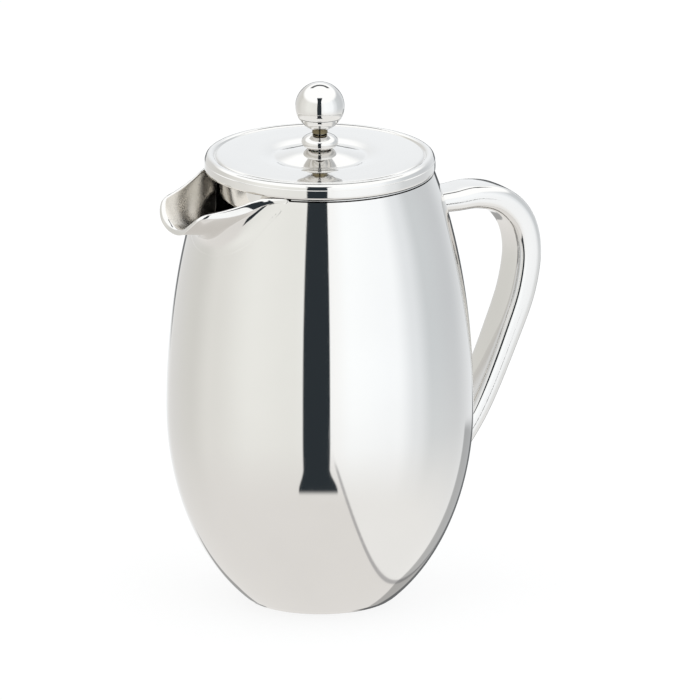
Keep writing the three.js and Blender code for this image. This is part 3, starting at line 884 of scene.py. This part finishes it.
class Nodes:
    """A short way to write node trees."""

    def __init__(self, tree):
        self.tree = tree
        tree.nodes.clear()

    def add(self, kind, **settings):
        node = self.tree.nodes.new(kind)
        for key, value in settings.items():
            setattr(node, key, value)
        return node

    def link(self, source, target):
        self.tree.links.new(source, target)

    def math(self, operation, a, b=None):
        node = self.add("ShaderNodeMath", operation=operation)
        for socket, value in zip(node.inputs, (a, b)):
            if value is None:
                continue
            if isinstance(value, (int, float)):
                socket.default_value = value
            else:
                self.link(value, socket)
        return node.outputs[0]

    def share(self, value, low, high):
        """0 to 1, in a straight line from low to high."""
        node = self.add("ShaderNodeMapRange")
        self.link(value, node.inputs["Value"])
        node.inputs["From Min"].default_value = low
        node.inputs["From Max"].default_value = high
        return node.outputs["Result"]

    def window(self, value, low, high, soft):
        """1 between low and high, with soft edges outside them."""
        rise = self.ramp(value, low - soft, low, 0.0, 1.0)
        return self.math("MULTIPLY", rise, self.ramp(value, high, high + soft, 1.0, 0.0))

    def ramp(self, value, low, high, to_low, to_high):
        """Maps value from one range to another, smoothly and clamped."""
        node = self.add("ShaderNodeMapRange", interpolation_type="SMOOTHSTEP")
        self.link(value, node.inputs["Value"])
        for name, number in (("From Min", low), ("From Max", high), ("To Min", to_low), ("To Max", to_high)):
            node.inputs[name].default_value = number
        return node.outputs["Result"]

    def parts(self, vector):
        """The X, Y and Z of a vector."""
        node = self.add("ShaderNodeSeparateXYZ")
        self.link(vector, node.inputs[0])
        return node.outputs

    def noise(self, vector, scale, detail=2.0):
        node = self.add("ShaderNodeTexNoise")
        node.inputs["Scale"].default_value = scale
        node.inputs["Detail"].default_value = detail
        self.link(vector, node.inputs["Vector"])
        return node.outputs["Fac"]

    def stretched(self, vector, x, y, z):
        node = self.add("ShaderNodeMapping")
        node.inputs["Scale"].default_value = (x, y, z)
        self.link(vector, node.inputs["Vector"])
        return node.outputs["Vector"]

    def mix_colour(self, factor, a, b):
        node = self.add("ShaderNodeMix", data_type="RGBA")
        self.link(factor, node.inputs[0])
        for socket, value in ((node.inputs[6], a), (node.inputs[7], b)):
            if isinstance(value, tuple):
                socket.default_value = (*value, 1.0)
            else:
                self.link(value, socket)
        return node.outputs[2]


def start_material(name, metallic=1.0):
    material = bpy.data.materials.new(name)
    material.use_nodes = True
    nodes = Nodes(material.node_tree)
    shader = nodes.add("ShaderNodeBsdfPrincipled")
    shader.inputs["Metallic"].default_value = metallic
    output = nodes.add("ShaderNodeOutputMaterial")
    nodes.link(shader.outputs[0], output.inputs[0])
    position = nodes.add("ShaderNodeTexCoord").outputs["Object"]
    return material, nodes, shader, position


def surface(nodes, shader, colour, roughness):
    nodes.link(colour, shader.inputs["Base Color"])
    nodes.link(roughness, shader.inputs["Roughness"])


def bump(nodes, shader, height, distance, strength):
    node = nodes.add("ShaderNodeBump")
    node.inputs["Distance"].default_value = distance
    node.inputs["Strength"].default_value = strength
    nodes.link(height, node.inputs["Height"])
    nodes.link(node.outputs[0], shader.inputs["Normal"])


def polished_steel(name, colour=(0.80, 0.787, 0.768), base_roughness=0.035, satin_channel=False):
    """Mirror-polished steel: faint buffing haze, hairlines and a hand-polished waviness."""
    material, nodes, shader, position = start_material(name)
    haze = nodes.noise(position, 24.0, 3.0)
    hairs = nodes.noise(nodes.stretched(position, 900.0, 900.0, 60.0), 1.0, 2.0)
    rough = nodes.ramp(haze, 0.3, 0.75, base_roughness, base_roughness + 0.035)
    fine = nodes.ramp(hairs, 0.55, 0.8, 0.0, 0.03)
    total = nodes.math("ADD", rough, fine)
    if satin_channel:
        mark = nodes.add("ShaderNodeAttribute", attribute_name="channel").outputs["Fac"]
        total = nodes.math("ADD", total, nodes.math("MULTIPLY", mark, 0.2))
    darker = tuple(c * 0.975 for c in colour)
    tone = nodes.mix_colour(nodes.ramp(haze, 0.25, 0.8, 0.0, 1.0), colour, darker)
    if satin_channel:
        tone = nodes.mix_colour(mark, tone, (0.79, 0.755, 0.70))
    surface(nodes, shader, tone, total)
    wave = nodes.noise(position, 45.0, 1.0)
    height = nodes.math("ADD", wave, nodes.math("MULTIPLY", hairs, 0.02))
    bump(nodes, shader, height, 0.00002, 0.35)
    return material


def satin_steel(name, colour=(0.70, 0.69, 0.675), turned=True):
    """Steel with fine circular turning marks round the Z axis; with turned False, the same marks at a coarser
    scale.
    """
    material, nodes, shader, position = start_material(name)
    x, y, z = nodes.parts(position)
    square = nodes.math("ADD", nodes.math("POWER", x, 2.0), nodes.math("POWER", y, 2.0))
    line = nodes.add("ShaderNodeCombineXYZ")
    nodes.link(nodes.math("SQRT", square), line.inputs[0])
    nodes.link(z, line.inputs[1])
    marks = nodes.noise(line.outputs[0], 2600.0 if turned else 1200.0, 3.0)
    patches = nodes.noise(position, 60.0, 2.0)
    rough = nodes.math("ADD", nodes.ramp(marks, 0.3, 0.7, 0.2, 0.3), nodes.ramp(patches, 0.3, 0.7, 0.0, 0.05))
    darker = tuple(c * 0.9 for c in colour)
    surface(nodes, shader, nodes.mix_colour(marks, colour, darker), rough)
    bump(nodes, shader, marks, 0.00003, 0.4)
    return material


def woven_mesh(name, pitch=0.0009):
    """Fine plain-woven wire cloth: over-and-under wires, with shade painted near-black into the gaps between
    them.
    """
    material, nodes, shader, position = start_material(name)
    x, y, _ = nodes.parts(position)
    k = math.pi / pitch
    sine_x = nodes.math("SINE", nodes.math("MULTIPLY", x, k))
    sine_y = nodes.math("SINE", nodes.math("MULTIPLY", y, k))
    wire_x = nodes.math("POWER", nodes.math("ABSOLUTE", sine_x), 0.7)
    wire_y = nodes.math("POWER", nodes.math("ABSOLUTE", sine_y), 0.7)
    checker = nodes.math("MULTIPLY", sine_x, sine_y)
    over = nodes.ramp(checker, -0.2, 0.2, 0.0, 1.0)
    height = nodes.math("ADD", nodes.math("MULTIPLY", wire_x, over),
                        nodes.math("MULTIPLY", wire_y, nodes.math("SUBTRACT", 1.0, over)))
    # Painted shade: the gaps between the wires are coloured near-black, as the shade that shows through real
    # holes.
    gap_shade_mask = nodes.ramp(height, 0.25, 0.7, 0.0, 1.0)
    tone = nodes.mix_colour(gap_shade_mask, (0.12, 0.12, 0.12), (0.66, 0.65, 0.635))
    surface(nodes, shader, tone, nodes.ramp(height, 0.2, 0.9, 0.6, 0.3))
    bump(nodes, shader, height, 0.0002, 0.9)
    return material


def nylon(name):
    material, nodes, shader, position = start_material(name, 0.0)
    shader.inputs["Subsurface Weight"].default_value = 0.1
    shader.inputs["Subsurface Scale"].default_value = 0.002
    grain = nodes.noise(position, 900.0, 3.0)
    tone = nodes.mix_colour(grain, (0.83, 0.81, 0.75), (0.76, 0.74, 0.68))
    surface(nodes, shader, tone, nodes.ramp(grain, 0.3, 0.7, 0.4, 0.55))
    bump(nodes, shader, grain, 0.00004, 0.3)
    return material


def brass(name):
    material, nodes, shader, position = start_material(name)
    line = nodes.add("ShaderNodeCombineXYZ")
    nodes.link(nodes.parts(position)[2], line.inputs[0])
    marks = nodes.noise(line.outputs[0], 3000.0, 2.0)
    # Painted shade: both brass tones are kept very dark, brass colour with the shade of the narrow gap
    # between ball and collar painted in.
    tone = nodes.mix_colour(marks, (0.21, 0.175, 0.105), (0.15, 0.125, 0.075))
    surface(nodes, shader, tone, nodes.ramp(marks, 0.3, 0.7, 0.12, 0.24))
    bump(nodes, shader, marks, 0.00003, 0.4)
    return material


# ---------- Pieces ----------

STEEL = polished_steel("polished_steel")
SPOUT_STEEL = polished_steel("spout_steel", satin_channel=True)
ROD_STEEL = polished_steel("rod_steel", (0.74, 0.73, 0.715), 0.08)
SATIN = satin_steel("satin_steel")
SPRING = satin_steel("spring_steel", (0.66, 0.655, 0.64), turned=False)
MESH = woven_mesh("mesh_steel")
NYLON = nylon("nylon")
BRASS_AND_GAP_SHADE = brass("brass")


def finish_piece(piece, material, slot, body, *nodes):
    piece.data.materials.clear()
    piece.data.materials.append(material)
    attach(piece, body)
    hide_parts(*nodes)


finish_piece(build_body(), STEEL, "polished_steel", "pot", "outer_shell")
finish_piece(build_spout(), SPOUT_STEEL, "polished_steel", "pot", "spout")
finish_piece(build_handle(), STEEL, "polished_steel", "pot", "handle")
finish_piece(build_liner(), SATIN, "satin_steel", "pot", "inner_liner")
finish_piece(build_base(), SATIN, "satin_steel", "pot", "base_plate")

finish_piece(build_lid_cover(), STEEL, "polished_steel", "lid", "lid_cover")
finish_piece(build_lid_liner(), STEEL, "polished_steel", "lid", "lid_liner")
finish_piece(build_collar(), STEEL, "polished_steel", "lid", "lid_collar")
finish_piece(build_bush(), NYLON, "nylon", "lid", "guide_bush")
finish_piece(build_washer(), SATIN, "satin_steel", "lid", "bush_washer")
finish_piece(hex_nut("bush_hex", 14, 4.5, 170.4, 3.3), SATIN, "satin_steel", "lid", "bush_nut")

finish_piece(build_rod(), ROD_STEEL, "rod_steel", "plunger", "plunger_rod")
finish_piece(hex_nut("stop_hex", 10, 2.8, 28.2, 6.0), SATIN, "satin_steel", "plunger", "stop_nut")
finish_piece(build_spring_plate(), ROD_STEEL, "rod_steel", "plunger", "spring_plate")
finish_piece(build_edge_spring(), SPRING, "spring_steel", "plunger", "edge_spring")
finish_piece(build_mesh_dish(), MESH, "mesh_steel", "plunger", "mesh_filter")

finish_piece(build_cross_plate(), ROD_STEEL, "rod_steel", "filter_clamp", "cross_plate")
finish_piece(hex_nut("hub_hex", 11, 2.3, 20.7, 4.0), SATIN, "satin_steel", "filter_clamp", "hub_nut")

finish_piece(build_knob_upper(), STEEL, "polished_steel", "knob", "knob_upper_shell")
finish_piece(build_knob_lower(), STEEL, "polished_steel", "knob", "knob_lower_shell")
finish_piece(build_knob_insert(), BRASS_AND_GAP_SHADE, "brass", "knob", "knob_insert")


# ---------- Studio ----------


def build_world():
    """A white light tent: a dark slit towards the camera side, white panels and a bright top."""
    world = bpy.data.worlds.new("tent")
    bpy.context.scene.world = world
    world.use_nodes = True
    nodes = Nodes(world.node_tree)
    direction = nodes.add("ShaderNodeTexCoord").outputs["Generated"]

    def along(vector):
        node = nodes.add("ShaderNodeVectorMath", operation="DOT_PRODUCT")
        nodes.link(direction, node.inputs[0])
        node.inputs[1].default_value = vector
        return node.outputs["Value"]

    front = along(tuple(-FORWARD))
    right = along(tuple(RIGHT))
    up = along((0, 0, 1))
    azimuth = nodes.math("MULTIPLY", nodes.math("ARCTAN2", right, front), 180 / math.pi)
    elevation = nodes.math("MULTIPLY", nodes.math("ARCSINE", up), 180 / math.pi)
    # Round the horizon: warm on the left, white then cool grey on the right, cool grey behind.
    band = nodes.add("ShaderNodeValToRGB")
    band.color_ramp.interpolation = "EASE"
    stops = [
        (-180, (1.02, 1.05, 1.08)), (-150, (0.80, 0.80, 0.79)), (-115, (0.78, 0.78, 0.75)),
        (-90, (0.90, 0.90, 0.87)), (-54, (1.02, 1.03, 1.0)), (-20, (0.98, 0.99, 0.96)),
        (9, (1.16, 1.18, 1.19)), (25, (1.22, 1.26, 1.29)), (60, (1.18, 1.22, 1.26)),
        (78, (0.95, 0.99, 1.03)), (95, (0.74, 0.78, 0.81)), (125, (0.70, 0.73, 0.76)),
        (155, (0.84, 0.87, 0.9)), (180, (1.02, 1.05, 1.08)),
    ]
    elements = band.color_ramp.elements
    while len(elements) > 1:
        elements.remove(elements[-1])
    for k, (angle, colour) in enumerate(stops):
        element = elements[0] if k == 0 else elements.new((angle + 180) / 360)
        element.position = (angle + 180) / 360
        element.color = (*colour, 1)
    nodes.link(nodes.share(azimuth, -180, 180), band.inputs[0])
    colour = band.outputs[0]
    # Bright top.
    top = nodes.ramp(elevation, 22, 34, 0.0, 1.0)
    colour = nodes.mix_colour(top, colour, (1.27, 1.29, 1.3))
    # The table below, warmer and dimmer, and the white sheet beyond its edge at the right.
    edge = along(tuple(0.0302 * -FORWARD + 0.8684 * RIGHT + 0.4952 * Vector((0, 0, 1))))
    beyond = nodes.ramp(edge, 0.0, 0.03, 0.0, 1.0)
    ground = nodes.mix_colour(beyond, (0.885, 0.87, 0.85), (1.0, 1.0, 0.99))
    colour = nodes.mix_colour(nodes.ramp(elevation, -6, -40, 0.0, 1.0), colour, ground)
    line = nodes.window(edge, -0.004, 0.01, 0.012)
    line = nodes.math("MULTIPLY", line, nodes.ramp(elevation, -20, -26, 0.0, 1.0))
    colour = nodes.mix_colour(nodes.math("MULTIPLY", line, 0.6), colour, (0.25, 0.25, 0.27))
    # Dark slit towards the camera, wider at its head and its foot.
    foot = nodes.ramp(elevation, -24, -33, 0.0, 1.0)
    flare = nodes.math("ADD", foot, nodes.ramp(elevation, 33, 54, 0.0, 1.3))
    left = nodes.math("ADD", azimuth, nodes.math("MULTIPLY", flare, 4.5))
    right_edge = nodes.math("SUBTRACT", azimuth, nodes.math("MULTIPLY", flare, 7.0))
    slit = nodes.ramp(left, -13.4, -12.0, 0.0, 1.0)
    slit = nodes.math("MULTIPLY", slit, nodes.ramp(right_edge, 7.0, 8.2, 1.0, 0.0))
    slit = nodes.math("MULTIPLY", slit, nodes.window(elevation, -32, 52, 2.5))
    colour = nodes.mix_colour(slit, colour, (0.03, 0.038, 0.045))
    # Seams of the tent behind: an azimuth or its size, its range, the elevation range, and the strength.
    across = nodes.math("ABSOLUTE", azimuth)
    for value, near, far, lower, upper, strength in (
        (across, 142, 190, 45, 55, 0.95),
        (across, 162, 190, -14, 2, 0.85),
        (azimuth, 165, 190, -44, -3, 0.8),
        (azimuth, 143, 190, -46, -18, 0.5),
        (azimuth, -172, -161, -34, -26, 0.6),
    ):
        patch = nodes.window(value, near, far, 3)
        patch = nodes.math("MULTIPLY", patch, nodes.window(elevation, lower, upper, 1.5))
        colour = nodes.mix_colour(nodes.math("MULTIPLY", patch, strength), colour, (0.07, 0.075, 0.08))
    background = nodes.add("ShaderNodeBackground")
    nodes.link(colour, background.inputs[0])
    plain = nodes.add("ShaderNodeBackground")
    plain.inputs[0].default_value = (1.0, 1.0, 1.0, 1)
    plain.inputs[1].default_value = 1.02
    pick = nodes.add("ShaderNodeMixShader")
    nodes.link(nodes.add("ShaderNodeLightPath").outputs["Is Camera Ray"], pick.inputs[0])
    nodes.link(background.outputs[0], pick.inputs[1])
    nodes.link(plain.outputs[0], pick.inputs[2])
    output = nodes.add("ShaderNodeOutputWorld")
    nodes.link(pick.outputs[0], output.inputs[0])


def add_floor():
    """A plain pale floor. It stays out of the steel's reflections, as the tent has its own table."""
    half = 3000.0
    corners = [(-half, -half, 0), (half, -half, 0), (half, half, 0), (-half, half, 0)]
    floor = make_object("floor", corners, [(0, 1, 2, 3)])
    floor.location.z = -0.0002
    material, nodes, shader, position = start_material("floor_paper", 0.0)
    grain = nodes.noise(position, 400.0, 2.0)
    nodes.link(nodes.mix_colour(grain, (0.20, 0.20, 0.20), (0.22, 0.22, 0.22)), shader.inputs["Base Color"])
    shader.inputs["Roughness"].default_value = 0.9
    shader.inputs["Specular IOR Level"].default_value = 0.0
    shader.inputs["Emission Color"].default_value = (1.0, 1.0, 1.0, 1.0)
    shader.inputs["Emission Strength"].default_value = 0.8
    floor.data.materials.append(material)
    floor.visible_glossy = False


build_world()
add_floor()

bpy.context.scene.view_settings.view_transform = "Standard"
